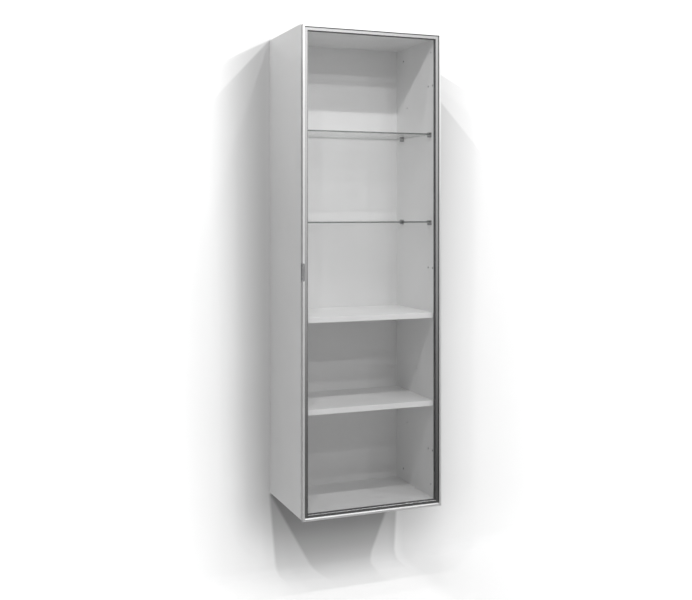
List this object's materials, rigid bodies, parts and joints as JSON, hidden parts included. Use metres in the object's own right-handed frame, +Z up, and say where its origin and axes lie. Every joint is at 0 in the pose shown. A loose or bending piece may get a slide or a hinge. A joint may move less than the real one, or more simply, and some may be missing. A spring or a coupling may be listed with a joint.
{
  "type": "wall-hung display cabinet",
  "caption": "Tall narrow wall-hung white cabinet with a hinged clear glass door in a slim metal frame, glass shelves above and board shelves below.",
  "frame": {"origin": "bottom centre of the overall box, at the level of the door's bottom edge", "axes": "+X to the right seen from the front, +Y towards the wall, +Z up; the door front faces -Y"},
  "size_m": [0.6, 0.4, 1.92],
  "materials": {
    "white_board": "satin white lacquered board",
    "white_back_panel": "satin white lacquered thin board",
    "raw_board": "plain melamine board, behind the back panel",
    "anodised_aluminium": "satin anodised extrusion",
    "door_glass": "clear float glass",
    "shelf_glass": "clear float glass with polished edges",
    "black_gasket": "matte extruded rubber",
    "grip_grey": "satin grey moulding",
    "grey_metal_clamp": "satin grey metal",
    "clear_silicone": "soft clear silicone",
    "zinc_plated_steel": "bright zinc plate",
    "steel_pin": "turned steel",
    "white_painted_steel": "satin white paint",
    "grey_painted_steel": "satin silver-grey paint",
    "cast_corner_key": "as cast",
    "magnet_steel": "nickel plate",
    "white_plastic": "satin moulding",
    "grey_plastic": "satin moulding",
    "beech_dowel": "plain beech"
  },
  "bodies": {
    "cabinet": {"side_panel_left": "white_board", "side_panel_right": "white_board", "top_panel": "white_board", "bottom_panel": "white_board", "back_panel": "white_back_panel", "rear_rail_top": "raw_board", "rear_rail_bottom": "raw_board", "board_shelf_upper": "white_board", "board_shelf_lower": "white_board", "board_shelf_pins": "zinc_plated_steel", "glass_shelf_upper": "shelf_glass", "glass_shelf_lower": "shelf_glass", "shelf_clamp_bodies": "grey_metal_clamp", "shelf_clamp_pads": "clear_silicone", "shelf_clamp_screws": "zinc_plated_steel", "cam_housings": "zinc_plated_steel", "cam_bolts": "zinc_plated_steel", "cam_cover_caps": "white_plastic", "wooden_dowels": "beech_dowel", "hole_plugs": "grey_plastic", "catch_housings": "white_plastic", "catch_magnets": "magnet_steel", "door_buffers": "clear_silicone", "hinge_carcass_leaves": "white_painted_steel", "hinge_pins": "steel_pin", "hinge_carcass_screws": "zinc_plated_steel", "hanger_housings": "zinc_plated_steel", "hanger_fixing_screws": "zinc_plated_steel", "hanger_height_screws": "zinc_plated_steel"},
    "door": {"door_stile_left": "anodised_aluminium", "door_stile_right": "anodised_aluminium", "door_rail_bottom": "anodised_aluminium", "door_rail_top": "anodised_aluminium", "door_corner_keys": "cast_corner_key", "door_corner_screws": "zinc_plated_steel", "door_glass": "door_glass", "door_gasket": "black_gasket", "finger_grip": "grip_grey", "finger_grip_screws": "zinc_plated_steel", "hinge_door_leaves": "grey_painted_steel", "hinge_door_screws": "zinc_plated_steel", "catch_strike_plates": "zinc_plated_steel"},
    "hanger_left": {"hanger_hook_left": "zinc_plated_steel", "wall_plate_left": "zinc_plated_steel"},
    "hanger_right": {"hanger_hook_right": "zinc_plated_steel", "wall_plate_right": "zinc_plated_steel"}
  },
  "joints": [
    {"name": "door_hinge", "type": "hinge", "parent": "cabinet", "child": "door", "pos_m": [0.296, -0.1825, 0.963], "axis": [0, 0, 1], "range_deg": [0, 110]},
    {"name": "hanger_left_height", "type": "slide", "parent": "cabinet", "child": "hanger_left", "axis": [0, 0, 1], "range_m": [-0.005, 0.005], "stiffness_N_per_m": 4000},
    {"name": "hanger_right_height", "type": "slide", "parent": "cabinet", "child": "hanger_right", "axis": [0, 0, 1], "range_m": [-0.005, 0.005], "stiffness_N_per_m": 4000}
  ]
}
